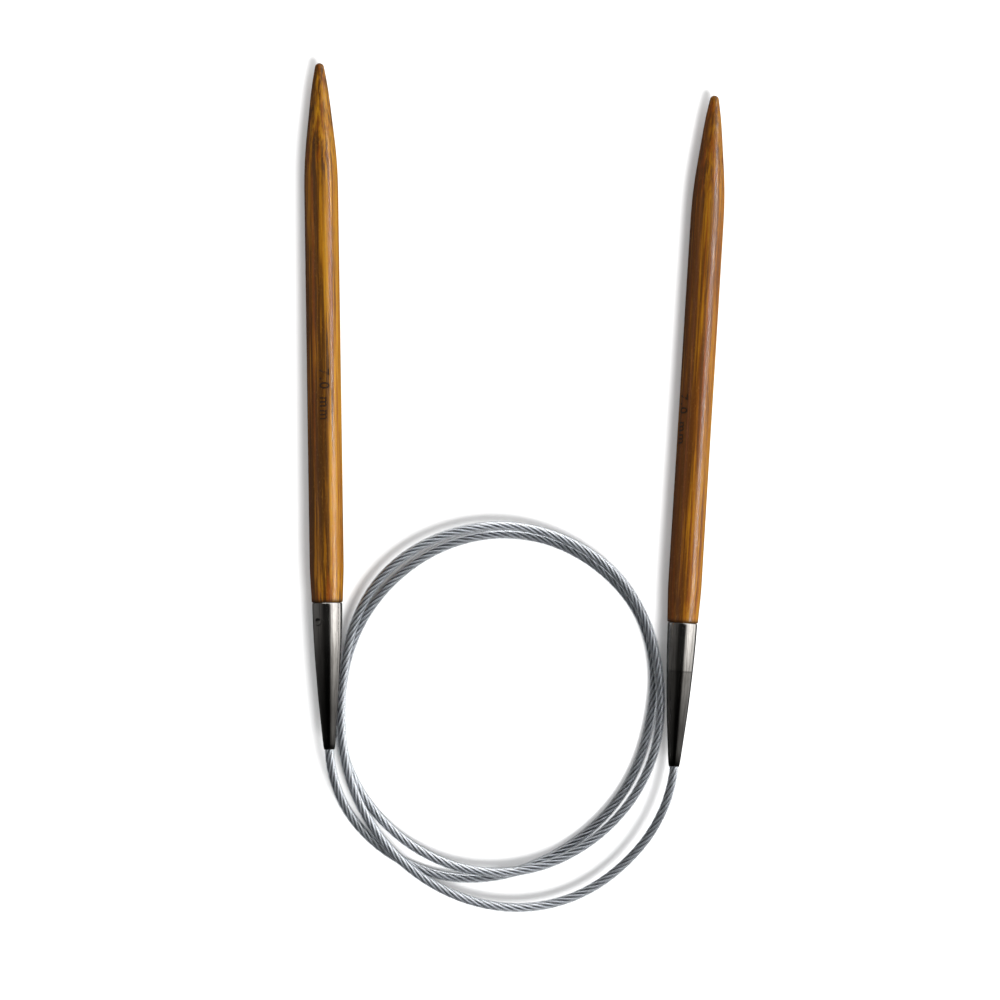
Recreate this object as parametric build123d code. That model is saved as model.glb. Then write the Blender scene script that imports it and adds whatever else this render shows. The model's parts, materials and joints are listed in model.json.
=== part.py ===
from build123d import *
import math
import os

# A circular knitting needle, coiled as it lies on a table.
# Millimetres and degrees. The origin is the middle of the coil on the table's surface, +Z is up
# and both needle tips point to +Y.

# Needles: a bamboo shaft pushed into a drawn steel ferrule, the same on both ends of the cable.
shaft_diameter = 7.0
needle_length = 141.2           # ferrule mouth to tip
ferrule_length = 29.8
shaft_neck_diameter = 6.4       # where the shaft meets the ferrule
shaft_neck_length = 7.0
shaft_edge_radius = 0.3
tenon_diameter = 4.9
tenon_length = 8.0
tip_length = 27.5
tip_nose_radius = 0.95
tip_outline = [(3.0, 1.34), (6.0, 1.80), (10.6, 2.33), (15.5, 2.88), (20.5, 3.31)]  # from the tip, radius

ferrule_mouth_radius = 1.13
ferrule_outline = [(1.8, 1.33), (5.0, 1.62), (10.0, 2.08), (16.0, 2.51), (21.0, 2.80)]
ferrule_rim_radius = 3.06
ferrule_wall = 0.35
ferrule_lip = 0.12
ferrule_lip_roll = 0.13         # the arc's radius
mouth_bore_length = 4.0
tenon_clearance = 0.05
stake_from_rim = 3.8            # a punch mark that locks the ferrule to the tenon
stake_ball_radius = 0.9
stake_depth = 0.24
left_stake_angle = 45.0
right_stake_angle = 200.0

# Cable: a 7-strand steel wire rope in a thin clear jacket.
cable_diameter = 2.0
jacket_wall = 0.12
strand_radius = 0.27
strand_circle_radius = 0.585
outer_strands = 6
lay_length = 12.0
points_per_lay = 5
bore_clearance = 0.03

# The rope's end inside the ferrule is held by a swaged sleeve.
stop_radius = 1.55
stop_from_mouth = 10.5
stop_length = 7.5
stop_clearance = 0.03
tail_jacket_depth = 9.5

# The cable flexes all along its length. It is cut into links with a short gap at every pivot.
link_count = 11
end_link_length = 8.0           # the piece of cable next to each ferrule
pivot_from_mouth = 1.0          # each needle lifts about a pivot just outside its ferrule
pivot_gap = 1.2                 # lets neighbouring links turn by up to 60 degrees

# How the object lies. Heights are those of the cable's and the needles' centre lines.
lower_turn_height = 1.05
upper_turn_height = 3.15
left_mouth = (-35.8, -9.2, 5.6)
right_mouth = (35.75, -13.1, 4.7)
left_heading = 91.15            # direction of the needle in plan, towards its tip
right_heading = 86.35
rest_length = 121.0             # mouth to the place where the shaft touches the table
rest_height = 3.5

# The coil in plan, anticlockwise from the left ferrule to the right one: angle, radius.
first_turn = [
    (205, 38.1), (222, 38.7), (240, 38.2), (258, 36.9), (276, 34.9), (294, 33.1), (312, 32.1),
    (332, 31.6), (352, 31.6), (372, 32.9), (392, 34.3), (412, 34.7), (432, 35.0), (452, 34.9),
    (472, 34.4), (492, 33.8), (512, 33.4), (532, 33.2),
]
second_turn = [
    (552, 34.0), (574, 34.3), (596, 34.5), (618, 34.8), (640, 34.6), (662, 34.0), (684, 33.7),
    (706, 33.4), (726, 33.3), (746, 34.3), (766, 35.6), (788, 36.2), (810, 36.6), (832, 36.6),
    (852, 36.2), (870, 34.9), (886, 33.5), (900, 33.3),
]
outer_end = [
    (916, 34.1), (934, 35.7), (954, 37.9), (976, 40.4), (994, 42.1), (1012, 42.6), (1030, 41.7),
    (1046, 40.2),
]
left_descent = (196, 234)       # where the cable comes down from the left ferrule
middle_climb = (552, 636)       # where it climbs on to the lower turn
right_climb = (1016, 1056)      # where it rises to the right ferrule


def eased(value, start, end):
    """0 before start, 1 after end, and a smooth change between them."""
    share = min(max((value - start) / (end - start), 0.0), 1.0)
    return share * share * (3.0 - 2.0 * share)


def cable_height(angle):
    """Height of the cable's centre line at an angle along the coil."""
    height = lower_turn_height
    height += (left_mouth[2] - lower_turn_height) * (1.0 - eased(angle, *left_descent))
    height += (upper_turn_height - lower_turn_height) * eased(angle, *middle_climb)
    height += (right_mouth[2] - upper_turn_height) * eased(angle, *right_climb)
    return height


def needle_axis(mouth, heading):
    """Unit vector from a ferrule's mouth to its needle's tip."""
    fall = (mouth[2] - rest_height) / rest_length
    turn = math.radians(heading)
    return Vector(math.cos(turn), math.sin(turn), -fall).normalized()


left_axis = needle_axis(left_mouth, left_heading)
right_axis = needle_axis(right_mouth, right_heading)


def cable_centreline():
    """The cable's centre line, with a straight run-in inside each ferrule."""
    points = [Vector(*left_mouth) + left_axis * tail_jacket_depth, Vector(*left_mouth)]
    for angle, radius in first_turn + second_turn + outer_end:
        turn = math.radians(angle)
        points.append(Vector(radius * math.cos(turn), radius * math.sin(turn), cable_height(angle)))
    points.append(Vector(*right_mouth))
    points.append(Vector(*right_mouth) + right_axis * tail_jacket_depth)
    return Spline(*points)


centreline = cable_centreline()
full_length = centreline.length


def station(length):
    """Point on the cable's centre line at a length from its start inside the left ferrule."""
    return centreline.position_at(length / full_length)


def direction(length):
    """Unit tangent of the cable's centre line."""
    return centreline.tangent_at(length / full_length)


def stretch(start, end):
    """The part of the centre line between two lengths."""
    return centreline.trim(start / full_length, end / full_length)


def across(tangent):
    """Two unit vectors square to a tangent: a level one, and the one that completes the frame."""
    level = tangent.cross(Vector(0, 0, 1)).normalized()
    return level, level.cross(tangent)


def jacket_piece(start, end):
    """The clear jacket on a stretch of cable."""
    outer = cable_diameter / 2.0
    section_plane = Plane(origin=station(start), z_dir=direction(start))
    ring = section_plane * (Circle(outer) - Circle(outer - jacket_wall))
    return sweep(ring, path=stretch(start, end))


def curved_frame(length):
    """Centre, and two directions square to the cable, at a length along the coil."""
    return (station(length), *across(direction(length)))


def straight_frame(length):
    """The same for a cable that runs straight up +Z."""
    return Vector(0, 0, length), Vector(1, 0, 0), Vector(0, -1, 0)


def strand(start, end, circle_radius, phase, frame):
    """One strand of the rope, in a right-hand lay round the line that frame describes."""
    steps = max(4, math.ceil((end - start) / lay_length * points_per_lay))
    points = []
    for step in range(steps + 1):
        length = start + (end - start) * step / steps
        centre, level, upward = frame(length)
        angle = phase - 2.0 * math.pi * length / lay_length
        points.append(centre + level * (circle_radius * math.cos(angle))
                      + upward * (circle_radius * math.sin(angle)))
    path = Spline(*points)
    return sweep(Plane(origin=path @ 0, z_dir=path % 0) * Circle(strand_radius), path=path).solid()


def rope_piece(start, end, frame):
    """The rope's core strand and its six outer strands, as separate solids."""
    strands = [strand(start, end, 0.0, 0.0, frame)]
    for number in range(outer_strands):
        phase = 2.0 * math.pi * number / outer_strands
        strands.append(strand(start, end, strand_circle_radius, phase, frame))
    return Compound(children=strands)


def turned(*edges):
    """A solid of revolution about Z, from a closed outline of radius against height."""
    return Rot(90, 0, 0) * revolve(make_face(edges), Axis.Y)


def bamboo_shaft():
    """Tenon, softened shoulder, straight shaft and long tapered tip."""
    neck = shaft_neck_diameter / 2.0
    body = shaft_diameter / 2.0
    tenon = tenon_diameter / 2.0
    tenon_start = ferrule_length - tenon_length
    tip_start = needle_length - tip_length
    nose = needle_length - tip_nose_radius
    taper = [(radius, needle_length - length) for length, radius in reversed(tip_outline)]
    edge = shaft_edge_radius
    return turned(
        Line((0, tenon_start), (tenon, tenon_start)),
        Line((tenon, tenon_start), (tenon, ferrule_length)),
        Line((tenon, ferrule_length), (neck - edge, ferrule_length)),
        RadiusArc((neck - edge, ferrule_length), (neck, ferrule_length + edge), -edge),
        Line((neck, ferrule_length + edge), (body, ferrule_length + shaft_neck_length)),
        Line((body, ferrule_length + shaft_neck_length), (body, tip_start)),
        Spline((body, tip_start), *taper, (tip_nose_radius, nose), tangents=[(0, 1), (-0.2, 1)]),
        RadiusArc((tip_nose_radius, nose), (0, needle_length), -tip_nose_radius),
        Line((0, needle_length), (0, tenon_start)),
    )


def steel_ferrule(stake_angle):
    """A drawn tube: ogive nose with a rolled lip at the cable, socket for the tenon at the rim."""
    bore = cable_diameter / 2.0 + bore_clearance
    socket = tenon_diameter / 2.0 + tenon_clearance
    socket_start = ferrule_length - tenon_length - tenon_clearance
    nose = [(radius, length) for length, radius in ferrule_outline]
    inner = [(radius - ferrule_wall, length) for length, radius in reversed(ferrule_outline[2:4])]
    rim = ferrule_length - tenon_clearance
    body = turned(
        RadiusArc((bore, 0.0), (ferrule_mouth_radius, ferrule_lip), -ferrule_lip_roll),
        Spline((ferrule_mouth_radius, ferrule_lip), *nose, (ferrule_rim_radius, rim)),
        Line((ferrule_rim_radius, rim), (socket, rim)),
        Line((socket, rim), (socket, socket_start)),
        Polyline((socket, socket_start), *inner, (bore, mouth_bore_length)),
        Line((bore, mouth_bore_length), (bore, 0.0)),
    )
    reach = ferrule_rim_radius + stake_ball_radius - stake_depth
    stake_height = ferrule_length - stake_from_rim
    turn = math.radians(stake_angle)
    ball = Pos(reach * math.cos(turn), reach * math.sin(turn), stake_height) * Sphere(stake_ball_radius)
    return body - ball


def end_stop():
    """The sleeve swaged on the rope's end inside the ferrule."""
    rope_radius = strand_circle_radius + strand_radius + stop_clearance
    sleeve = Cylinder(stop_radius, stop_length) - Cylinder(rope_radius, stop_length)
    return Pos(0, 0, stop_from_mouth + stop_length / 2.0) * sleeve


def tail_jacket():
    """The jacket's last piece, from the pivot through the ferrule's mouth."""
    start = -pivot_from_mouth + pivot_gap / 2.0
    length = tail_jacket_depth - start
    outer = cable_diameter / 2.0
    tube = Cylinder(outer, length) - Cylinder(outer - jacket_wall, length)
    return Pos(0, 0, start + length / 2.0) * tube


def tail_strands():
    """The rope's last piece, straight along the ferrule and through the end stop."""
    start = -pivot_from_mouth + pivot_gap / 2.0
    return rope_piece(start, stop_from_mouth + stop_length, straight_frame)


def write(name, shape):
    """Save one node."""
    export_step(shape, f"parts/{name}.step")


def write_needle(side, mouth, axis, stake_angle):
    """All the pieces that are fixed to one needle."""
    frame = Plane(origin=mouth, x_dir=Vector(0, 0, 1).cross(axis), z_dir=axis)
    write(f"{side}_shaft", frame * bamboo_shaft())
    write(f"{side}_ferrule", frame * steel_ferrule(stake_angle))
    write(f"{side}_end_stop", frame * end_stop())
    write(f"{side}_cable_tail_jacket", frame * tail_jacket())
    write(f"{side}_cable_tail_strands", frame.location * tail_strands())


def write_cable(name, start, end):
    """The jacket and the rope of one link, cut back from the pivots at its two ends."""
    write(f"{name}_jacket", jacket_piece(start + pivot_gap / 2.0, end - pivot_gap / 2.0))
    write(f"{name}_strands", rope_piece(start + pivot_gap / 2.0, end - pivot_gap / 2.0, curved_frame))


os.makedirs("parts", exist_ok=True)

write_needle("left", left_mouth, left_axis, left_stake_angle)
write_needle("right", right_mouth, right_axis, right_stake_angle)

first_pivot = tail_jacket_depth + pivot_from_mouth
last_pivot = full_length - first_pivot
links_start = first_pivot + end_link_length
link_length = (last_pivot - end_link_length - links_start) / link_count

write_cable("left_cable_end", first_pivot, links_start)
for link in range(link_count):
    link_start = links_start + link * link_length
    write_cable(f"cable_link_{link + 1:02d}", link_start, link_start + link_length)
write_cable("right_cable_end", last_pivot - end_link_length, last_pivot)
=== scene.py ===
import json
import math

import bmesh
import bpy
import numpy as np
from mathutils import Matrix, Vector

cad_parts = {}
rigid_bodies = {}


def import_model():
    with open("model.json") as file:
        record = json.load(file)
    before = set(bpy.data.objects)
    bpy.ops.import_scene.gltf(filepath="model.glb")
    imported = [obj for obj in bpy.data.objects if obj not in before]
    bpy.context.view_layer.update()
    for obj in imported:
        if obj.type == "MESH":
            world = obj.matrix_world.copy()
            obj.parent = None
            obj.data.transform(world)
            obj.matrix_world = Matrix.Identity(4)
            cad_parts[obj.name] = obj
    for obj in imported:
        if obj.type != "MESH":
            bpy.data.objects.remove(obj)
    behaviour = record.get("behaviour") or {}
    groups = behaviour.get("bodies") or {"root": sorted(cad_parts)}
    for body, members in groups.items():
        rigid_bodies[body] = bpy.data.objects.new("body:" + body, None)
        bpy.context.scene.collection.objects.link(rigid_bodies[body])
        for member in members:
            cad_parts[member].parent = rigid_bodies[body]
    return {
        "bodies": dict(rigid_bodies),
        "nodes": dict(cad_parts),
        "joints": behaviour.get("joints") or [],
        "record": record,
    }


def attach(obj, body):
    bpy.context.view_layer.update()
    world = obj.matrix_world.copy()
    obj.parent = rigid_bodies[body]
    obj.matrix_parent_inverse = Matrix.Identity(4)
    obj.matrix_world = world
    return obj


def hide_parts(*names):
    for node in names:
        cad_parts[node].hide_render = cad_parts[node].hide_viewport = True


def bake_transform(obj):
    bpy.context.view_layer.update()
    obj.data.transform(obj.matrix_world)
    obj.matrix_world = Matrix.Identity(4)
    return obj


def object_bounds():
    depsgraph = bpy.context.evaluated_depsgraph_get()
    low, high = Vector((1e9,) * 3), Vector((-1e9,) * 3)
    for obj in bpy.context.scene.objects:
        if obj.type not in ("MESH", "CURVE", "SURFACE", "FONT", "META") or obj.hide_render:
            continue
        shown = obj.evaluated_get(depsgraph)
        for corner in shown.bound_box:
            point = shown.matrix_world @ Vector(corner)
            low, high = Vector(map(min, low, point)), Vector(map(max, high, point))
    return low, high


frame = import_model()
cad_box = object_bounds()

# A circular knitting needle: two lacquered bamboo tips in steel ferrules, joined by a steel rope in a
# clear jacket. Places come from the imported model. Lengths are in metres; MM turns millimetres into them.
MM = 0.001

# Cable
jacket_radius = 1.0 * MM
jacket_bore = 0.88 * MM
jacket_sides = 32
jacket_step = 0.8 * MM
strand_count = 6
strand_circle = 0.585 * MM
strand_lay = 12.0 * MM
wire_radius = 0.09 * MM
wire_circle = 0.18 * MM
wires_per_strand = 6
wire_relief = 0.45               # share of the grooves between wires that is open
wire_lay = 5.0 * MM
strand_step = 0.4 * MM
tail_inside = 18.0 * MM          # how far the rope runs into each ferrule
tail_jacket_inside = 9.5 * MM
centring_places = 7              # places along a link where the centre line is moved to its middle
centring_rounds = 2

# Needles
shaft_sides = 96
shaft_step = 0.8 * MM
tip_zone = 30.0 * MM             # the tapered end, cut into shorter steps
tip_step = 0.3 * MM
tip_cap = 1.2 * MM
shoulder_zone = 1.5 * MM
corner_width = 1.2 * MM          # over which the shaft's corners are rounded
groove_counts = (9, 14, 23, 31)
groove_depth = 0.016 * MM
groove_swell = 11.0 * MM
groove_seed = {"left": 7, "right": 19}
ferrule_sides = 128
ferrule_step = 0.5 * MM
ferrule_corner_width = 0.5 * MM
ferrule_wall = 0.35 * MM
bore_depth = 4.0 * MM
lip_width = 0.10 * MM
rim_round = 0.12 * MM
fit_gap = 0.05 * MM              # round the tenon, in its socket
mark_reach = 1.2 * MM            # half the length of the finely cut zone round the stake mark
mark_step = 0.08 * MM
mark_radius = 0.58 * MM
mark_ridge_radius = 0.70 * MM
mark_ridge_width = 0.12 * MM
mark_ridge_height = 0.04 * MM

# Size mark
size_text = "7.0 mm"
text_start = 77.5 * MM           # from the ferrule's mouth
text_height = 2.9 * MM
text_relief = 0.02 * MM
text_sunk = 0.012 * MM
text_edge = 0.25 * MM            # longest straight edge that is bent round the shaft
text_angle = {"left": math.radians(-4.0), "right": math.radians(-60.0)}


# ---- Reading the frame ----------------------------------------------------------------------------

def cad_points(node):
    """The vertices of a CAD node."""
    return np.array([v.co for v in frame["nodes"][node].data.vertices], float).reshape(-1, 3)


def unit(vector):
    return vector / np.linalg.norm(vector)


links = sorted(name for name in frame["bodies"] if name.startswith("cable_link_"))
chain = ["left_needle", "left_cable_end"] + links + ["right_cable_end", "right_needle"]
joint_of = {frozenset((j["parent"], j["child"])): j for j in frame["joints"]}
pivots = [np.array(joint_of[frozenset(pair)]["pos_m"]) for pair in zip(chain, chain[1:])]
pins = {m["name"].split("_")[0]: m for m in frame["record"]["mounts"] if m["kind"] == "pin"}


def jacket_node(body):
    """The CAD jacket of a cable body or of a needle's tail."""
    if body.endswith("_needle"):
        return body.replace("_needle", "_cable_tail_jacket")
    return body + "_jacket"


def ring(body, pivot):
    """Centre, and direction towards the pivot, of the open end of a CAD jacket next to a pivot."""
    points = cad_points(jacket_node(body))
    distance = np.linalg.norm(points - pivot, axis=1)
    near = distance.min()
    reach = math.sqrt(near ** 2 - jacket_bore ** 2 + jacket_radius ** 2) + 0.012 * MM
    rim = points[(distance < reach) & (distance > (near + reach) / 2.0)]
    middle = rim.mean(axis=0)
    normal = np.linalg.svd(rim - middle)[2][2]
    if normal @ (pivot - middle) < 0.0:
        normal = -normal
    # a circle through the rim's points, in its own plane
    side = unit(rim[0] - middle)
    up = np.cross(normal, side)
    flat = np.column_stack(((rim - middle) @ side, (rim - middle) @ up))
    rows = np.column_stack((2.0 * flat, np.ones(len(flat))))
    fit = np.linalg.lstsq(rows, (flat ** 2).sum(axis=1), rcond=None)[0]
    return middle + fit[0] * side + fit[1] * up, normal


# ---- The cable's centre line ----------------------------------------------------------------------

def middle_of_tube(across, above):
    """Centre of the points round a tube, from the circle that fits its outer surface."""
    middle = np.array([across.max() + across.min(), above.max() + above.min()]) / 2.0
    for _ in range(3):
        flat = np.column_stack((across, above))
        far = np.linalg.norm(flat - middle, axis=1) > (jacket_radius + jacket_bore) / 2.0
        rows = np.column_stack((2.0 * flat[far], np.ones(far.sum())))
        fit = np.linalg.lstsq(rows, (flat[far] ** 2).sum(axis=1), rcond=None)[0]
        middle = fit[:2]
    return middle


def recentred(points, body):
    """The same stretch of centre line, moved to the middle of the CAD jacket round it."""
    skin = cad_points(jacket_node(body))
    nearest = np.array([np.linalg.norm(points - place, axis=1).argmin() for place in skin])
    way = np.gradient(points, axis=0)
    way /= np.linalg.norm(way, axis=1)[:, None]
    level = np.cross(way, (0.0, 0.0, 1.0))
    level /= np.linalg.norm(level, axis=1)[:, None]
    upward = np.cross(level, way)
    offset = skin - points[nearest]
    across = (offset * level[nearest]).sum(axis=1)
    above = (offset * upward[nearest]).sum(axis=1)
    last = len(points) - 1
    marks, shifts = [0], [(0.0, 0.0)]
    for mark in np.linspace(0, last, centring_places + 2)[1:-1]:
        close = np.abs(nearest - mark) < last / (centring_places + 1.0) / 2.0
        marks.append(mark)
        shifts.append(middle_of_tube(across[close], above[close]))
    rows = np.array(shifts + [(0.0, 0.0)])
    marks.append(last)
    steps = np.arange(len(points))
    moved = [smooth_through(steps, marks, rows[:, k])[:, None] for k in (0, 1)]
    return points + moved[0] * level + moved[1] * upward


def smooth_through(steps, marks, values):
    """A smooth curve through values at marks, read at each step."""
    marks = np.array(marks, float)
    slopes = np.gradient(values, marks)
    cell = np.clip(np.searchsorted(marks, steps, side="right") - 1, 0, len(marks) - 2)
    width = marks[cell + 1] - marks[cell]
    t = (steps - marks[cell]) / width
    return ((2 * t ** 3 - 3 * t ** 2 + 1) * values[cell] + (t ** 3 - 2 * t ** 2 + t) * width * slopes[cell]
            + (3 * t ** 2 - 2 * t ** 3) * values[cell + 1] + (t ** 3 - t ** 2) * width * slopes[cell + 1])


def arc(start, start_way, end, end_way, step=0.2 * MM):
    """Points on a smooth curve between two places with given directions, without the last point."""
    chord = np.linalg.norm(end - start)
    turn = math.acos(min(1.0, float(start_way @ end_way)))
    speed = chord if turn < 1e-4 else 2.0 * chord * math.tan(turn / 4.0) / math.sin(turn / 2.0)
    t = np.linspace(0.0, 1.0, max(2, int(chord / step)), endpoint=False)[:, None]
    return ((2 * t ** 3 - 3 * t ** 2 + 1) * start + (t ** 3 - 2 * t ** 2 + t) * speed * start_way
            + (3 * t ** 2 - 2 * t ** 3) * end + (t ** 3 - t ** 2) * speed * end_way)


def centreline():
    """The whole cable from inside the left ferrule to inside the right one, as dense points."""
    knots = []
    for number, body in enumerate(chain):
        if number > 0:
            centre, towards = ring(body, pivots[number - 1])
            knots.append((centre, -towards))
        if number < len(pivots):
            knots.append(ring(body, pivots[number]))
    first_centre, first_way = knots[0]
    last_centre, last_way = knots[-1]
    inside = np.linalg.norm(first_centre - pivots[0]) + tail_inside
    knots.insert(0, (first_centre - first_way * inside, first_way))
    knots.append((last_centre + last_way * inside, last_way))
    rows = [arc(*a, *b) for a, b in zip(knots, knots[1:])]
    for number, body in enumerate(chain):
        if body in links:
            for _ in range(centring_rounds):
                rows[2 * number] = recentred(rows[2 * number], body)
    return np.vstack(rows + [knots[-1][0][None, :]])


line = centreline()
line_length = np.concatenate(([0.0], np.cumsum(np.linalg.norm(np.diff(line, axis=0), axis=1))))
full_length = line_length[-1]
pivot_at = [line_length[np.linalg.norm(line - pivot, axis=1).argmin()] for pivot in pivots]


def station(length):
    """Points on the centre line at lengths from its start."""
    return np.column_stack([np.interp(length, line_length, line[:, k]) for k in range(3)])


def moving_frame(length):
    """Centre, direction, level side and upward side of the cable at lengths from its start."""
    reach = 0.4 * MM
    way = station(np.minimum(length + reach, full_length)) - station(np.maximum(length - reach, 0.0))
    way /= np.linalg.norm(way, axis=1)[:, None]
    level = np.cross(way, (0.0, 0.0, 1.0))
    level /= np.linalg.norm(level, axis=1)[:, None]
    return station(length), way, level, np.cross(level, way)


# ---- Mesh helpers ---------------------------------------------------------------------------------

def mesh_object(name, points, faces, materials, face_slots=None, sharp=math.radians(50)):
    """A new object from points and faces, smooth except at sharp edges."""
    mesh = bpy.data.meshes.new(name)
    mesh.from_pydata(np.asarray(points).tolist(), [], faces)
    for material in materials:
        mesh.materials.append(material)
    if face_slots is not None:
        mesh.polygons.foreach_set("material_index", face_slots)
    mesh.polygons.foreach_set("use_smooth", [True] * len(mesh.polygons))
    mesh.set_sharp_from_angle(angle=sharp)
    mesh.update()
    made = bpy.data.objects.new(name, mesh)
    bpy.context.scene.collection.objects.link(made)
    return made


def grid_faces(rings, sides, start=0, inward=False):
    """Quads between rings of points, each ring closed on itself."""
    faces = []
    for r in range(rings - 1):
        low = start + r * sides
        for s in range(sides):
            n = (s + 1) % sides
            quad = (low + s, low + n, low + sides + n, low + sides + s)
            faces.append(quad[::-1] if inward else quad)
    return faces


def closed_tube(rings, start=0):
    """Faces of a closed tube whose rings are an array of rings x sides x 3."""
    count, sides = rings.shape[:2]
    faces = grid_faces(count, sides, start)
    faces.append(tuple(start + s for s in reversed(range(sides))))
    faces.append(tuple(start + (count - 1) * sides + s for s in range(sides)))
    return faces


# ---- The cable's meshes ---------------------------------------------------------------------------

def strand_outline():
    """Angle and radius round one strand, whose wires show as lobes."""
    rows = []
    half = math.pi / wires_per_strand
    crown = wire_circle + wire_radius
    groove = crown - wire_relief * (crown - wire_circle * math.cos(half))
    for wire in range(wires_per_strand):
        middle = 2.0 * wire * half
        for off in (-0.6 * half, 0.0, 0.6 * half):
            along = wire_circle * math.cos(off)
            bulge = math.sqrt(wire_radius ** 2 - (wire_circle * math.sin(off)) ** 2)
            rows.append((middle + off, crown - wire_relief * (crown - along - bulge)))
        rows.append((middle + half, groove))
    return np.array(rows)


def strand_rings(lengths, phase):
    """One outer strand of the rope as rings of points: right-hand lay, its wires laid the other way."""
    centre, way, level, upward = moving_frame(lengths)
    turn = (phase - 2.0 * math.pi * lengths / strand_lay)[:, None]
    out = level * np.cos(turn) + upward * np.sin(turn)
    spin = level * np.sin(turn) - upward * np.cos(turn)
    own_way = way + spin * (strand_circle * 2.0 * math.pi / strand_lay)
    own_way /= np.linalg.norm(own_way, axis=1)[:, None]
    side = np.cross(own_way, out)
    middle = centre + out * strand_circle
    outline = strand_outline()
    twist = -2.0 * math.pi * lengths * (1.0 / strand_lay + 1.0 / wire_lay)
    angle = outline[None, :, 0] + twist[:, None]
    radius = outline[None, :, 1, None]
    return middle[:, None] + radius * (out[:, None] * np.cos(angle)[..., None]
                                       + side[:, None] * np.sin(angle)[..., None])


def round_rings(lengths, radius, sides):
    """Plain round rings about the centre line."""
    centre, _, level, upward = moving_frame(lengths)
    angle = np.linspace(0.0, 2.0 * math.pi, sides, endpoint=False)
    return (centre[:, None] + radius * (level[:, None] * np.cos(angle)[None, :, None]
                                        - upward[:, None] * np.sin(angle)[None, :, None]))


def rope_mesh(name, start, end, material):
    """The seven strands of one stretch of rope."""
    lengths = np.linspace(start, end, max(2, math.ceil((end - start) / strand_step)) + 1)
    tubes = [round_rings(lengths, wire_circle + 0.5 * wire_radius, 8)]
    for number in range(strand_count):
        tubes.append(strand_rings(lengths, 2.0 * math.pi * number / strand_count))
    points, faces = [], []
    for tube in tubes:
        faces += closed_tube(tube, sum(len(p) for p in points))
        points.append(tube.reshape(-1, 3))
    piece = mesh_object(name, np.vstack(points), faces, [material])
    centre = station(lengths)
    # each point's distance from the rope's axis, in mm, which the wire material turns into painted shade in
    # the grooves
    depth = [np.linalg.norm(tube - centre[:, None], axis=2).ravel() for tube in tubes]
    attribute = piece.data.attributes.new("from_axis", "FLOAT", "POINT")
    attribute.data.foreach_set("value", (np.concatenate(depth) / MM).astype(np.float32))
    return piece


def jacket_mesh(name, start, end, materials):
    """One stretch of the jacket: a tube with a wall. Its two cut ends take the second material."""
    lengths = np.linspace(start, end, max(2, math.ceil((end - start) / jacket_step)) + 1)
    outer = round_rings(lengths, jacket_radius, jacket_sides)
    inner = round_rings(lengths, jacket_bore, jacket_sides)
    count = len(lengths)
    inside = count * jacket_sides
    faces = grid_faces(count, jacket_sides) + grid_faces(count, jacket_sides, inside, True)
    slots = [0] * len(faces)
    last = (count - 1) * jacket_sides
    for s in range(jacket_sides):
        n = (s + 1) % jacket_sides
        faces.append((n, s, inside + s, inside + n))
        faces.append((last + s, last + n, inside + last + n, inside + last + s))
    slots += [1] * (len(faces) - len(slots))
    points = np.vstack((outer.reshape(-1, 3), inner.reshape(-1, 3)))
    return mesh_object(name, points, faces, materials, slots)


def build_cable(rope_material, jacket_materials):
    """Continuous rope and jacket, one stretch per joint, each running across its joint from the middle of one
    link to the next.
    """
    cuts = [0.0]
    cuts += [(a + b) / 2.0 for a, b in zip(pivot_at, pivot_at[1:])]
    cuts.append(full_length)
    for number, pair in enumerate(zip(chain, chain[1:])):
        start, end, pivot = cuts[number], cuts[number + 1], pivot_at[number]
        jacket_start, jacket_end = start, end
        if number == 0:
            jacket_start = tail_inside - tail_jacket_inside
        if number == len(pivots) - 1:
            jacket_end = full_length - tail_inside + tail_jacket_inside
        rope = rope_mesh(f"rope_{number + 1:02d}", start, end, rope_material)
        jacket = jacket_mesh(f"jacket_{number + 1:02d}", jacket_start, jacket_end, jacket_materials)
        stem = chain[number].replace("_needle", "_cable_tail")
        for piece, slot, kind in ((rope, "steel_wire", "strands"), (jacket, "clear_jacket", "jacket")):
            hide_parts(f"{stem}_{kind}")
            if number == len(pivots) - 1:
                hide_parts(f"right_cable_tail_{kind}")
            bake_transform(piece)


# ---- The needles' meshes --------------------------------------------------------------------------

def needle_frame(side):
    """Mouth, axis towards the tip, level side and upward side of one needle."""
    axis = unit(np.array(pins[side]["axis"], float))
    pivot = pivots[0] if side == "left" else pivots[-1]
    points = (cad_points(f"{side}_ferrule") - pivot) @ axis
    mouth = pivot + axis * points.min()
    level = unit(np.cross(axis, (0.0, 0.0, 1.0)))
    return mouth, axis, level, np.cross(level, axis)


needles = {side: needle_frame(side) for side in ("left", "right")}


def local(side, node):
    """Length from the mouth, radius and angle from the top of a CAD node's vertices."""
    mouth, axis, level, upward = needles[side]
    points = cad_points(node) - mouth
    across, above = points @ level, points @ upward
    return points @ axis, np.hypot(across, above), np.arctan2(across, above)


def outline(side, node, start):
    """The outer radius of a turned CAD node as corner points of length and radius."""
    length, radius, _ = local(side, node)
    rows = sorted(set(zip(length[length > start].round(6), radius[length > start].round(6))))
    hull = []
    for row in rows:
        while len(hull) > 1:
            (l0, r0), (l1, r1) = hull[-2], hull[-1]
            if (l1 - l0) * (row[1] - r0) - (r1 - r0) * (row[0] - l0) < 0.0:
                break
            hull.pop()
        hull.append(row)
    return np.array(hull)


def softened(lengths, corners, width):
    """The outline at given lengths, with its corners rounded over a width."""
    total = np.zeros(len(lengths))
    offsets = np.linspace(-1.0, 1.0, 9)
    weights = 1.0 - np.abs(offsets) * 0.9
    for offset, weight in zip(offsets, weights):
        total += weight * np.interp(lengths + offset * width, corners[:, 0], corners[:, 1])
    return total / weights.sum()


def place(side, length, radius, angle):
    """Points in the row frame from length, radius and angle from the top."""
    mouth, axis, level, upward = needles[side]
    return (mouth + length[..., None] * axis + (radius * np.sin(angle))[..., None] * level
            + (radius * np.cos(angle))[..., None] * upward)


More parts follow.
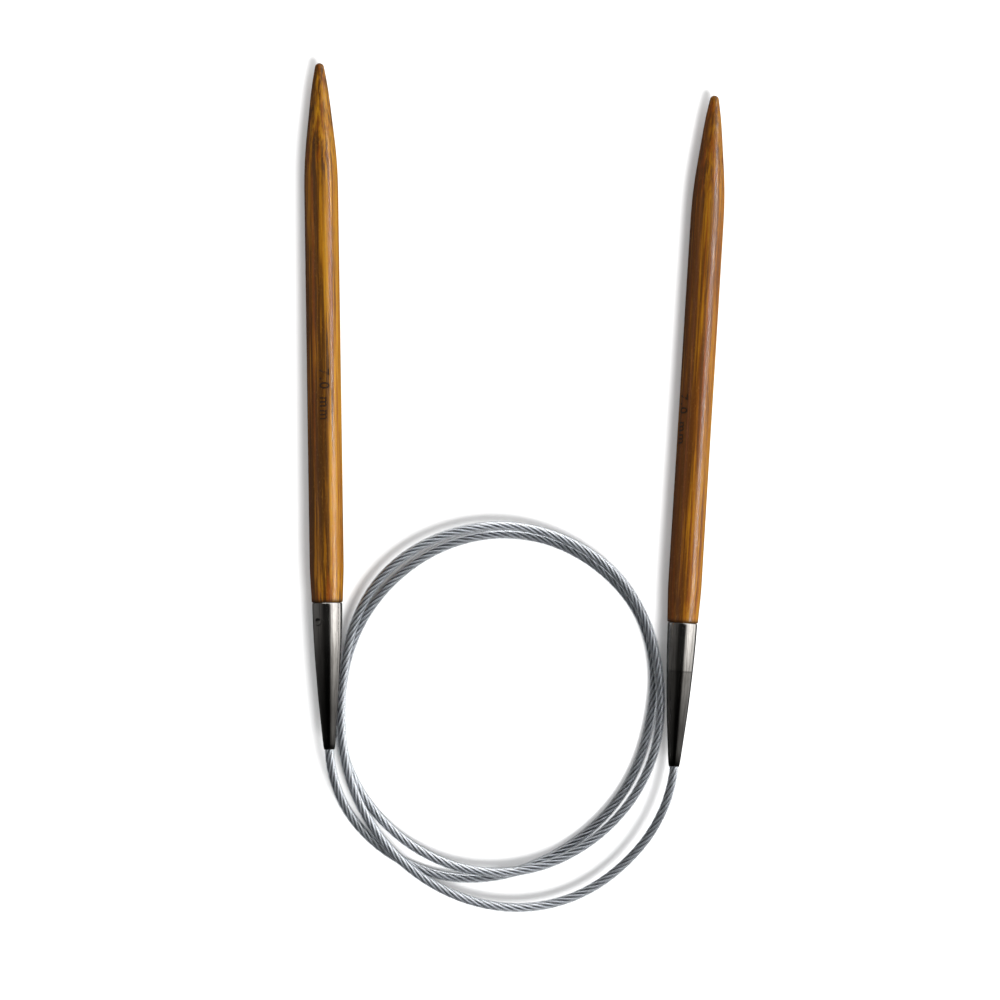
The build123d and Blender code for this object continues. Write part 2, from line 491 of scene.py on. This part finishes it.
def add_grain(piece, side):
    """Stores each point's place in the needle's own frame, in millimetres, for the materials."""
    mouth, axis, level, upward = needles[side]
    points = np.array([v.co for v in piece.data.vertices], float).reshape(-1, 3) - mouth
    rows = np.column_stack((points @ level, points @ upward, points @ axis)) / MM
    attribute = piece.data.attributes.new("grain", "FLOAT_VECTOR", "POINT")
    attribute.data.foreach_set("vector", rows.astype(np.float32).ravel())


def shaft_lengths(shoulder, tip):
    """Where the shaft's rings stand, from the shoulder at the ferrule to just short of the tip."""
    quarter = np.linspace(0.0, 0.5 * math.pi, 14, endpoint=False)
    return np.concatenate((
        np.linspace(shoulder, shoulder + 1.0 * MM, 6),
        np.arange(shoulder + shoulder_zone, tip - tip_zone, shaft_step),
        np.arange(tip - tip_zone, tip - tip_cap, tip_step),
        tip - tip_cap * np.cos(quarter) ** 1.5))


def shaft_radius(lengths, corners, tip):
    """The shaft's outer radius: rounded along its length, true to CAD at the shoulder and the nose."""
    share = np.clip((tip - 2.0 * MM - lengths) / (2.0 * MM), 0.0, 1.0)
    share *= np.clip((lengths - corners[0, 0] - shoulder_zone) / (1.0 * MM), 0.0, 1.0)
    plain = np.interp(lengths, corners[:, 0], corners[:, 1])
    return share * softened(lengths, corners, corner_width) + (1.0 - share) * plain


def cut_grooves(rings, lengths, radius, angle, seed):
    """Fibres: shallow lengthwise grooves that wander slowly round the shaft."""
    rng = np.random.default_rng(seed)
    for count in groove_counts:
        phase = rng.uniform(0.0, 2.0 * math.pi)
        drift = rng.uniform(-0.02, 0.02) / MM
        depth = groove_depth * np.clip(radius / radius.max(), 0.2, 1.0)
        swell = 0.5 + 0.5 * np.sin(lengths / groove_swell + phase)
        rings -= (depth * swell)[:, None] * (
            0.5 + 0.5 * np.sin(count * angle[None, :] + phase + drift * lengths[:, None]))


def build_shaft(side, material):
    """The bamboo shaft: tenon, shoulder, body and tip, with fine lengthwise grooves in its surface."""
    node = f"{side}_shaft"
    length, radius, _ = local(side, node)
    rim = local(side, f"{side}_ferrule")[0].max()
    tenon_start, tip = length.min(), length.max()
    tenon = radius[length < rim - 0.5 * MM].max()
    corners = outline(side, node, rim + 0.01 * MM)
    body = shaft_lengths(corners[0, 0], tip)
    smooth = shaft_radius(body, corners, tip)
    angle = np.linspace(0.0, 2.0 * math.pi, shaft_sides, endpoint=False)
    round_row = np.ones(shaft_sides)[None, :]
    rings = smooth[:, None] * round_row
    cut_grooves(rings, body, smooth, angle, groove_seed[side])
    tenon_rings = np.array([0.55 * tenon, tenon, tenon])[:, None] * round_row
    rings = np.vstack((tenon_rings, rings))
    lengths = np.concatenate(([tenon_start, tenon_start + 0.3 * MM, rim], body))
    points = place(side, lengths[:, None] * round_row, rings, np.broadcast_to(angle, rings.shape))
    nose = place(side, np.array([tip]), np.array([0.0]), np.array([0.0]))
    count = len(lengths)
    faces = grid_faces(count, shaft_sides)
    faces.append(tuple(reversed(range(shaft_sides))))
    last = (count - 1) * shaft_sides
    for s in range(shaft_sides):
        faces.append((last + s, last + (s + 1) % shaft_sides, count * shaft_sides))
    piece = mesh_object(f"{side}_bamboo_shaft", np.vstack((points.reshape(-1, 3), nose)), faces, [material])
    add_grain(piece, side)
    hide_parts(node)
    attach(piece, f"{side}_needle")


def stake_mark(side, corners):
    """Length, angle and depth of the CAD ferrule's punched mark."""
    length, radius, angle = local(side, f"{side}_ferrule")
    sunk = np.interp(length, corners[:, 0], corners[:, 1]) - radius
    rim = corners[-1, 0]
    near = (length > rim - 7.0 * MM) & (length < rim - 1.0 * MM) & (sunk > 0.03 * MM) & (sunk < 0.28 * MM)
    x, y = np.sin(angle[near]).mean(), np.cos(angle[near]).mean()
    return length[near].mean(), math.atan2(x, y), sunk[near].max()


def ferrule_inside(side, corners):
    """The inner surface as corner points of length and radius, from the rim to the mouth."""
    rim = corners[-1, 0]
    length, radius, _ = local(side, f"{side}_shaft")
    tenon = radius[length < rim - 0.5 * MM].max() + fit_gap
    socket_start = length.min() - fit_gap
    bore = jacket_radius + 0.03 * MM
    rows = [(rim, tenon), (socket_start, tenon)]
    for at in np.linspace(socket_start - 0.3 * MM, bore_depth + 1.0 * MM, 8):
        rows.append((at, max(bore, float(np.interp(at, corners[:, 0], corners[:, 1])) - ferrule_wall)))
    return np.array(rows + [(bore_depth, bore), (0.5 * lip_width, bore)])


def ferrule_outside(corners, mark_length):
    """The rolled lip and the ogive as points of length and radius, cut finely round the stake mark."""
    turn = np.linspace(-0.5 * math.pi, 0.35 * math.pi, 8)
    half = 0.5 * lip_width
    lip = np.column_stack((half + half * np.sin(turn), corners[0, 1] - half + half * np.cos(turn)))
    fine = np.arange(mark_length - mark_reach, mark_length + mark_reach, mark_step)
    coarse = np.arange(0.6 * MM, corners[-1, 0] - 0.3 * MM, ferrule_step)
    coarse = coarse[(coarse < fine[0] - 0.1 * MM) | (coarse > fine[-1] + 0.1 * MM)]
    lengths = np.sort(np.concatenate((coarse, fine)))
    return np.vstack((lip, np.column_stack((lengths, softened(lengths, corners, ferrule_corner_width)))))


def punch_mark(rings, lengths, angle, outside, mark):
    """The punched mark in the outer rings: a round hollow with a slightly raised edge."""
    mark_length, mark_angle, mark_depth = mark
    turn = (angle[None, :] - mark_angle + math.pi) % (2.0 * math.pi) - math.pi
    away = np.hypot(lengths - mark_length, turn * rings)
    hollow = mark_depth * (1.0 - np.clip(away / mark_radius, 0.0, 1.0) ** 4)
    raised = mark_ridge_height * np.exp(-((away - mark_ridge_radius) / mark_ridge_width) ** 2)
    rings[:outside] += (raised - hollow)[:outside]


def build_ferrule(side, material):
    """The steel ferrule: outer ogive with rolled lip and punched mark, rim, socket and bore."""
    node = f"{side}_ferrule"
    corners = outline(side, node, 0.05 * MM)
    rim, rim_radius = corners[-1]
    mark = stake_mark(side, corners)
    outer = ferrule_outside(corners, mark[0])
    edge = [(rim - rim_round, rim_radius), (rim - 0.03 * MM, rim_radius - 0.03 * MM),
            (rim, rim_radius - rim_round)]
    profile = np.vstack((outer, edge, ferrule_inside(side, corners)))
    angle = np.linspace(0.0, 2.0 * math.pi, ferrule_sides, endpoint=False)
    rings = profile[:, 1][:, None] * np.ones(ferrule_sides)[None, :]
    lengths = profile[:, 0][:, None] * np.ones(ferrule_sides)[None, :]
    punch_mark(rings, lengths, angle, len(outer), mark)
    points = place(side, lengths, rings, np.broadcast_to(angle, rings.shape))
    faces = grid_faces(len(profile), ferrule_sides)
    last = (len(profile) - 1) * ferrule_sides
    for s in range(ferrule_sides):
        n = (s + 1) % ferrule_sides
        faces.append((last + s, last + n, n, s))
    piece = mesh_object(f"{side}_steel_ferrule", points.reshape(-1, 3), faces, [material],
                        sharp=math.radians(60))
    add_grain(piece, side)
    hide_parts(node)
    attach(piece, f"{side}_needle")


def build_size_mark(side, material):
    """The size in millimetres, burnt into the lacquer: thin letters that follow the shaft's surface."""
    curve = bpy.data.curves.new(f"{side}_size_text", "FONT")
    curve.body = size_text
    curve.size = text_height
    curve.align_y = "CENTER"
    curve.space_character = 1.25
    curve.extrude = text_relief
    curve.offset = 0.035 * MM
    text = bpy.data.objects.new(f"{side}_size_text", curve)
    bpy.context.scene.collection.objects.link(text)
    bpy.context.view_layer.update()
    mesh = bpy.data.meshes.new_from_object(text.evaluated_get(bpy.context.evaluated_depsgraph_get()))
    bpy.data.objects.remove(text)
    work = bmesh.new()
    work.from_mesh(mesh)
    bmesh.ops.remove_doubles(work, verts=work.verts, dist=1e-7)
    bmesh.ops.triangulate(work, faces=work.faces)
    bmesh.ops.subdivide_edges(work, edges=[e for e in work.edges if e.calc_length() > text_edge], cuts=2)
    work.to_mesh(mesh)
    work.free()
    flat = np.array([v.co for v in mesh.vertices], float).reshape(-1, 3)
    corners = outline(side, f"{side}_shaft", local(side, f"{side}_ferrule")[0].max() + 0.01 * MM)
    along = text_start - flat[:, 0]
    surface = np.interp(along, corners[:, 0], corners[:, 1])
    turn = text_angle[side] + flat[:, 1] / surface
    points = place(side, along, surface - text_sunk + flat[:, 2], turn)
    mesh.vertices.foreach_set("co", points.ravel())
    mesh.materials.append(material)
    mesh.update()
    piece = bpy.data.objects.new(f"{side}_size_mark", mesh)
    bpy.context.scene.collection.objects.link(piece)
    add_grain(piece, side)
    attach(piece, f"{side}_needle")


# ---- Materials ------------------------------------------------------------------------------------

def colour(red, green, blue):
    """A linear colour with alpha from 0 to 255 display values."""
    rows = [c / 255.0 for c in (red, green, blue)]
    return tuple(c / 12.92 if c <= 0.04045 else ((c + 0.055) / 1.055) ** 2.4 for c in rows) + (1.0,)


class Nodes:
    """Short calls for a material's node tree."""

    def __init__(self, name):
        self.material = bpy.data.materials.new(name)
        self.material.use_nodes = True
        self.tree = self.material.node_tree
        self.tree.nodes.clear()

    def add(self, kind, inputs=None, **settings):
        made = self.tree.nodes.new(kind)
        for key, value in settings.items():
            setattr(made, key, value)
        for key, value in (inputs or {}).items():
            if isinstance(value, bpy.types.NodeSocket):
                self.tree.links.new(value, made.inputs[key])
            else:
                made.inputs[key].default_value = value
        return made

    def stretched(self, source, scale):
        """A vector scaled along its three axes."""
        return self.add("ShaderNodeMapping", {"Vector": source, "Scale": scale}).outputs[0]

    def noise(self, vector, scale, detail=3.0, rough=0.55, distortion=0.0):
        inputs = {"Vector": vector, "Scale": scale, "Detail": detail, "Roughness": rough,
                  "Distortion": distortion}
        return self.add("ShaderNodeTexNoise", inputs).outputs["Fac"]

    def ramp(self, value, *stops):
        """A colour ramp; each stop is a position and a colour or a grey value."""
        made = self.add("ShaderNodeValToRGB", {"Fac": value})
        elements = made.color_ramp.elements
        while len(elements) < len(stops):
            elements.new(0.5)
        for element, (position, shade) in zip(elements, stops):
            element.position = position
            element.color = shade if isinstance(shade, tuple) else (shade, shade, shade, 1.0)
        return made.outputs[0]

    def mix(self, factor, first, second, blend="MIX"):
        made = self.tree.nodes.new("ShaderNodeMix")
        made.data_type = "RGBA"
        made.blend_type = blend
        sockets = {0: factor, 6: first, 7: second}
        for index, value in sockets.items():
            if isinstance(value, bpy.types.NodeSocket):
                self.tree.links.new(value, made.inputs[index])
            else:
                made.inputs[index].default_value = value
        return made.outputs[2]

    def maths(self, operation, first, second=0.0, clamp=False):
        made = self.tree.nodes.new("ShaderNodeMath")
        made.operation = operation
        made.use_clamp = clamp
        for index, value in enumerate((first, second)):
            if isinstance(value, bpy.types.NodeSocket):
                self.tree.links.new(value, made.inputs[index])
            else:
                made.inputs[index].default_value = value
        return made.outputs[0]

    def finish(self, shader):
        output = self.add("ShaderNodeOutputMaterial")
        self.tree.links.new(shader, output.inputs["Surface"])
        return self.material


def bamboo(name, seed, redness, side_shade_strength, rim_mm):
    """Carbonised bamboo: lengthwise fibres in browns and gold under a satin lacquer, with painted shade on
    one side and just above the ferrule's rim.
    """
    n = Nodes(name)
    place_mm = n.add("ShaderNodeAttribute", attribute_name="grain").outputs["Vector"]
    shift = (seed, 2.0 * seed, 0.0)
    moved = n.add("ShaderNodeVectorMath", {0: place_mm, 1: shift}, operation="ADD").outputs[0]
    bands = n.noise(n.stretched(moved, (0.55, 0.55, 0.02)), 1.0, 2.0)
    streaks = n.noise(n.stretched(moved, (2.0, 2.0, 0.045)), 1.0, 3.0, 0.6)
    fibres = n.noise(n.stretched(moved, (9.0, 9.0, 0.22)), 1.0, 3.0, 0.65)
    flecks = n.noise(n.stretched(moved, (7.0, 7.0, 1.3)), 1.0, 2.0, 0.7)
    separate = n.add("ShaderNodeSeparateXYZ", {"Vector": place_mm})
    # painted shade: the tone gets lighter across the shaft towards its lit side
    across = n.maths("MULTIPLY", separate.outputs["X"], 0.035)
    tone = n.maths("MULTIPLY", bands, 0.55)
    tone = n.maths("ADD", tone, n.maths("MULTIPLY", streaks, 0.75))
    tone = n.maths("ADD", tone, n.maths("MULTIPLY", fibres, 0.22))
    tone = n.maths("ADD", tone, across)
    base = n.ramp(tone, (0.66, colour(46, 26, 2)), (0.72, colour(84, 50, 2)), (0.77, colour(124, 78, 2)),
                  (0.82, colour(160, 104, 3)), (0.90, colour(190, 134, 14)))
    hue = n.noise(n.stretched(moved, (1.7, 1.7, 0.018)), 1.0, 2.0)
    base = n.mix(n.ramp(hue, (0.30, 0.0), (0.42, 0.55)), n.mix(0.6, base, colour(58, 46, 6)), base)
    base = n.mix(n.ramp(hue, (0.54, 0.0), (0.66, 0.6)), base, colour(112, 52, 4))
    reddish = n.mix(n.ramp(bands, (0.42, 0.0), (0.62, 1.0)), colour(128, 66, 6), colour(76, 32, 5))
    base = n.mix(redness, base, n.mix(0.5, base, reddish))
    dark_lines = n.ramp(fibres, (0.30, 1.0), (0.42, 0.0))
    base = n.mix(n.maths("MULTIPLY", dark_lines, 0.55), base, colour(34, 17, 2))
    # light flecks: the bamboo's own lighter specks, partly also painted sparkle of the lacquer's highlight
    flecks_and_painted_sparkle = n.ramp(flecks, (0.60, 0.0), (0.72, 1.0))
    base = n.mix(n.maths("MULTIPLY", flecks_and_painted_sparkle, 0.34), base, colour(168, 122, 56))
    # painted shade: one side of the shaft is mixed towards dark brown, as strongly as the side-shade strength
    # sets
    painted_side_shade_mask = n.maths("MULTIPLY", separate.outputs["X"], 0.143)
    painted_side_shade_mask = n.maths("ADD", painted_side_shade_mask, n.maths("MULTIPLY", hue, 0.7))
    painted_side_shade_mask = n.ramp(painted_side_shade_mask, (0.05, 1.0), (0.32, 0.55), (0.55, 0.0))
    base = n.mix(n.maths("MULTIPLY", painted_side_shade_mask, side_shade_strength), base, colour(58, 30, 12))
    # painted shade: a dark ring on the shaft just above the ferrule's rim, where the shoulder meets it
    painted_joint_shade = n.ramp(n.maths("MULTIPLY", separate.outputs["Z"], 0.01), (0.01 * (rim_mm + 0.25), 0.85),
                        (0.01 * (rim_mm + 0.9), 0.0))
    base = n.mix(painted_joint_shade, base, colour(22, 12, 4))
    height = n.maths("ADD", n.maths("MULTIPLY", fibres, 0.7), n.maths("MULTIPLY", flecks, 0.3))
    bump = n.add("ShaderNodeBump", {"Height": height, "Strength": 0.35, "Distance": 0.00006}).outputs[0]
    grains = n.noise(n.stretched(moved, (3.4, 3.4, 2.6)), 1.0, 2.0, 0.75)
    lacquer_bump = n.add("ShaderNodeBump", {
        "Height": grains, "Strength": 0.9, "Distance": 0.00007}).outputs[0]
    rough = n.maths("ADD", 0.40, n.maths("MULTIPLY", fibres, 0.25))
    coat = n.maths("MULTIPLY", n.ramp(grains, (0.42, 0.15), (0.58, 1.0)), 0.30)
    shader = n.add("ShaderNodeBsdfPrincipled", {
        "Base Color": base, "Roughness": rough, "Normal": bump, "Specular IOR Level": 0.05,
        "Coat Weight": coat, "Coat Roughness": 0.13, "Coat Normal": lacquer_bump,
        "Coat Tint": colour(255, 236, 214)})
    return n.finish(shader.outputs[0])


def burnt_mark():
    """The burnt surface of the laser-marked size."""
    n = Nodes("burnt_mark")
    place_mm = n.add("ShaderNodeAttribute", attribute_name="grain").outputs["Vector"]
    speckle = n.noise(n.stretched(place_mm, (6.0, 6.0, 3.0)), 1.0, 3.0, 0.7)
    base = n.ramp(speckle, (0.3, colour(16, 9, 4)), (0.7, colour(40, 23, 8)))
    shader = n.add("ShaderNodeBsdfPrincipled", {"Base Color": base, "Roughness": 0.7,
                                                "Specular IOR Level": 0.15})
    return n.finish(shader.outputs[0])


def polished_steel(name, shade_tones):
    """Dark polished steel with fine lengthwise lines; painted shade darkens its colour towards the cable.
    Tones are (mm, value).
    """
    n = Nodes(name)
    place_mm = n.add("ShaderNodeAttribute", attribute_name="grain").outputs["Vector"]
    lines = n.noise(n.stretched(place_mm, (7.0, 7.0, 0.12)), 1.0, 3.0, 0.6)
    clouds = n.noise(n.stretched(place_mm, (0.5, 0.5, 0.2)), 1.0, 3.0, 0.6)
    pits = n.noise(place_mm, 3.2, 2.0, 0.5)
    base = n.mix(clouds, colour(124, 121, 118), colour(168, 165, 160))
    streaks = n.noise(n.stretched(place_mm, (2.2, 2.2, 0.05)), 1.0, 3.0, 0.65)
    base = n.mix(n.ramp(streaks, (0.40, 0.55), (0.52, 0.0)), base, colour(96, 92, 88))
    base = n.mix(n.ramp(pits, (0.66, 0.0), (0.74, 0.6)), base, colour(90, 86, 82))
    along = n.add("ShaderNodeSeparateXYZ", {"Vector": place_mm}).outputs["Z"]
    # painted shade: the listed tones darken the colour along the ferrule, where less of the bright room is
    # mirrored
    painted_shade_along = n.ramp(n.maths("MULTIPLY", along, 0.025), *((0.025 * mm, value) for mm, value in shade_tones))
    base = n.mix(1.0, base, painted_shade_along, "MULTIPLY")
    rough = n.maths("ADD", 0.07, n.maths("MULTIPLY", clouds, 0.08))
    rough = n.maths("ADD", rough, n.maths("MULTIPLY", lines, 0.04))
    bump = n.add("ShaderNodeBump", {"Height": lines, "Strength": 0.12, "Distance": 0.00003}).outputs[0]
    shader = n.add("ShaderNodeBsdfPrincipled", {"Base Color": base, "Metallic": 1.0, "Roughness": rough,
                                                "Normal": bump, "Anisotropic": 0.3})
    return n.finish(shader.outputs[0])


def steel_wire():
    """Bright drawn wire, with slow changes of tone along the rope and painted shade deep in its grooves."""
    n = Nodes("steel_wire")
    where = n.add("ShaderNodeNewGeometry").outputs["Position"]
    clouds = n.noise(where, 260.0, 2.0)
    scratches = n.noise(where, 5200.0, 2.0, 0.6)
    base = n.mix(clouds, colour(180, 182, 186), colour(214, 215, 219))
    from_axis = n.add("ShaderNodeAttribute", attribute_name="from_axis").outputs["Fac"]
    # painted shade: the colour darkens to near black towards the rope's axis, deep between wires and strands
    painted_groove_shade = n.ramp(from_axis, (0.60, 0.02), (0.70, 0.14), (0.80, 0.75), (0.85, 1.0))
    base = n.mix(1.0, base, painted_groove_shade, "MULTIPLY")
    rough = n.maths("ADD", 0.26, n.maths("MULTIPLY", scratches, 0.12))
    shader = n.add("ShaderNodeBsdfPrincipled", {"Base Color": base, "Metallic": 1.0, "Roughness": rough})
    return n.finish(shader.outputs[0])


def swaged_steel():
    """The sleeve inside the ferrule: plain steel with a dull, mottled surface."""
    n = Nodes("swaged_steel")
    where = n.add("ShaderNodeNewGeometry").outputs["Position"]
    mottle = n.noise(where, 900.0, 3.0)
    base = n.mix(mottle, colour(120, 120, 122), colour(160, 160, 160))
    shader = n.add("ShaderNodeBsdfPrincipled", {
        "Base Color": base, "Metallic": 1.0, "Roughness": n.maths("ADD", 0.35, mottle)})
    return n.finish(shader.outputs[0])


def clear_jacket():
    """A thin clear skin: seen through, with a gloss at its edges and a trace of haze."""
    n = Nodes("clear_jacket")
    where = n.add("ShaderNodeNewGeometry").outputs["Position"]
    smears = n.noise(where, 700.0, 2.0)
    gloss = n.add("ShaderNodeBsdfGlossy", {
        "Color": colour(255, 255, 255), "Roughness": n.maths("ADD", 0.06, n.maths("MULTIPLY", smears, 0.12))})
    haze = n.add("ShaderNodeBsdfDiffuse", {"Color": colour(226, 232, 240)})
    through = n.add("ShaderNodeBsdfTransparent", {"Color": (0.97, 0.98, 0.99, 1.0)})
    milky = n.add("ShaderNodeMixShader", {"Fac": n.maths("MULTIPLY", smears, 0.05)})
    n.tree.links.new(through.outputs[0], milky.inputs[1])
    n.tree.links.new(haze.outputs[0], milky.inputs[2])
    edge = n.add("ShaderNodeFresnel", {"IOR": 1.45}).outputs[0]
    edge = n.maths("MINIMUM", edge, 0.22)
    skin = n.add("ShaderNodeMixShader", {"Fac": edge})
    n.tree.links.new(milky.outputs[0], skin.inputs[1])
    n.tree.links.new(gloss.outputs[0], skin.inputs[2])
    return n.finish(skin.outputs[0])


def unseen():
    """The cut between two stretches of jacket, which is one piece on the real cable."""
    n = Nodes("jacket_cut")
    return n.finish(n.add("ShaderNodeBsdfTransparent").outputs[0])


def floor_white():
    """Plain white paper."""
    n = Nodes("floor_white")
    where = n.add("ShaderNodeNewGeometry").outputs["Position"]
    paper = n.noise(where, 40.0, 2.0)
    base = n.mix(paper, (0.90, 0.90, 0.90, 1.0), (0.92, 0.92, 0.92, 1.0))
    shader = n.add("ShaderNodeBsdfDiffuse", {"Color": base})
    return n.finish(shader.outputs[0])


# ---- Building -------------------------------------------------------------------------------------

# The tones darken each ferrule towards its mouth as painted shade; the right one also has a painted dark line
# at about 19.7 mm.
steels = {
    "left": polished_steel("polished_steel", (
        (0.0, 0.16), (4.0, 0.20), (10.0, 0.24), (14.0, 0.30), (17.0, 0.38), (20.0, 0.50), (23.5, 0.78),
        (27.0, 0.95), (29.8, 1.0))),
    "right": polished_steel("polished_steel_painted_crease", (
        (0.0, 0.12), (3.0, 0.30), (12.0, 0.36), (19.4, 0.44), (19.7, 0.24), (19.95, 0.74), (25.0, 0.84),
        (29.8, 1.0)))}
burnt = burnt_mark()
rim_mm = local("left", "left_ferrule")[0].max() / MM
shaft_materials = {"left": bamboo("bamboo_golden", 3.0, 0.15, 0.45, rim_mm),
                   "right": bamboo("bamboo_reddish", 11.0, 0.55, 0.5, rim_mm)}
build_cable(steel_wire(), [clear_jacket(), unseen()])
sleeve = swaged_steel()
for side in ("left", "right"):
    build_shaft(side, shaft_materials[side])
    build_ferrule(side, steels[side])
    build_size_mark(side, burnt)
    stop = frame["nodes"][f"{side}_end_stop"]
    stop.data.materials.clear()
    stop.data.materials.append(sleeve)


# ---- Floor, light and camera ----------------------------------------------------------------------

def build_floor():
    """A large plain sheet under the object, left out of reflections."""
    half = 3.0
    floor = mesh_object("floor", [(-half, -half, 0), (half, -half, 0), (half, half, 0), (-half, half, 0)],
                        [(0, 1, 2, 3)], [floor_white()])
    floor.visible_glossy = False


def build_world():
    """White light from all round; for reflections a dark room, a tall window right, a dim one behind."""
    world = bpy.data.worlds.new("studio")
    bpy.context.scene.world = world
    world.use_nodes = True
    world.cycles.sampling_method = "NONE"
    n = Nodes("unused")
    n.tree = world.node_tree
    n.tree.nodes.clear()
    way = n.add("ShaderNodeTexCoord").outputs["Generated"]
    axes = n.add("ShaderNodeSeparateXYZ", {"Vector": way})
    # 0 straight down on the left, 0.25 the left horizon, 0.5 overhead, 0.75 the right horizon
    round_room = n.maths("MULTIPLY", n.maths("SUBTRACT", 1.0, axes.outputs["Z"]), 0.25)
    round_room = n.maths("MULTIPLY", round_room, n.maths("SIGN", axes.outputs["X"]))
    window = n.ramp(n.maths("ADD", round_room, 0.5),
                    (0.02, 0.01), (0.10, 0.070), (0.40, 0.045), (0.46, 0.010), (0.507, 0.010), (0.525, 0.60),
                    (0.57, 1.0), (0.66, 0.88), (0.82, 0.70), (0.89, 0.03), (0.97, 0.015))
    fall = n.ramp(n.maths("ADD", n.maths("MULTIPLY", axes.outputs["Y"], 0.5), 0.5),
                  (0.0, 0.30), (0.30, 0.02), (0.37, 0.08), (0.42, 0.45), (0.46, 1.0), (0.8, 1.0))
    far_window = n.ramp(axes.outputs["Y"], (0.78, 0.0), (0.86, 0.28))
    reflected = n.mix(1.0, n.mix(1.0, window, fall, "MULTIPLY"), far_window, "ADD")
    dark_room = n.add("ShaderNodeBackground", {"Color": reflected, "Strength": 3.8})
    white_room = n.add("ShaderNodeBackground", {"Color": (1.0, 1.0, 1.0, 1.0), "Strength": 0.78})
    choice = n.add("ShaderNodeMixShader", {"Fac": n.add("ShaderNodeLightPath").outputs["Is Glossy Ray"]})
    n.tree.links.new(white_room.outputs[0], choice.inputs[1])
    n.tree.links.new(dark_room.outputs[0], choice.inputs[2])
    output = n.add("ShaderNodeOutputWorld")
    n.tree.links.new(choice.outputs[0], output.inputs["Surface"])
    bpy.data.materials.remove(n.material)


def build_light(name, place_at, target, size, power, mirrored_in=()):
    """A square soft light that points at a place. With names of pieces, only those pieces mirror it."""
    data = bpy.data.lights.new(name, "AREA")
    data.shape = "SQUARE"
    data.size = size
    data.energy = power
    lamp = bpy.data.objects.new(name, data)
    bpy.context.scene.collection.objects.link(lamp)
    lamp.location = place_at
    lamp.rotation_mode = "QUATERNION"
    lamp.rotation_quaternion = (Vector(target) - Vector(place_at)).to_track_quat("-Z", "Y")
    lamp.visible_camera = False
    lamp.visible_glossy = bool(mirrored_in)
    lamp.visible_diffuse = not mirrored_in
    if mirrored_in:
        receivers = bpy.data.collections.new(f"{name}_receivers")
        for piece in mirrored_in:
            receivers.objects.link(bpy.data.objects[piece])
        lamp.light_linking.receiver_collection = receivers
    return lamp


def build_lights():
    """A soft main light from the front right, a strip on each side and a light behind the tips."""
    middle = (Vector(cad_box[0]) + Vector(cad_box[1])) / 2.0
    build_light("window_light", (middle.x + 0.35, middle.y - 0.64, 1.05), middle, 0.5, 20.0)
    # the strips draw a thin highlight along each shaft
    shafts = ("left_bamboo_shaft", "right_bamboo_shaft")
    strip_y, strip_height, strip_length, strip_width = 0.10, 0.42, 0.62, 0.03
    for name, across, power in (("right_strip", 0.55, 13.0), ("left_strip", -0.66, 0.7)):
        spot = (middle.x + across, strip_y, strip_height)
        strip = build_light(name, spot, (middle.x, strip_y, 0.0), strip_length, power, shafts)
        strip.data.shape = "RECTANGLE"
        strip.data.size_y = strip_width
    # the light behind brightens the rim of the left ferrule
    behind = (middle.x - 0.35, middle.y + 0.75, 0.70)
    build_light("rear_light", behind, middle, 0.7, 9.0, ("left_steel_ferrule",))


def build_camera():
    """A camera 0.5 m above the object, a little left of its middle and turned back towards it."""
    data = bpy.data.cameras.new("camera")
    data.lens = 87.2
    camera = bpy.data.objects.new("camera", data)
    bpy.context.scene.collection.objects.link(camera)
    camera.location = (-67.4 * MM, 20.8 * MM, 500.0 * MM)
    camera.rotation_euler = (math.radians(2.39), math.radians(-7.66), math.radians(0.21))
    bpy.context.scene.camera = camera


build_floor()
build_world()
build_lights()
build_camera()
bpy.context.scene.view_settings.view_transform = "Standard"
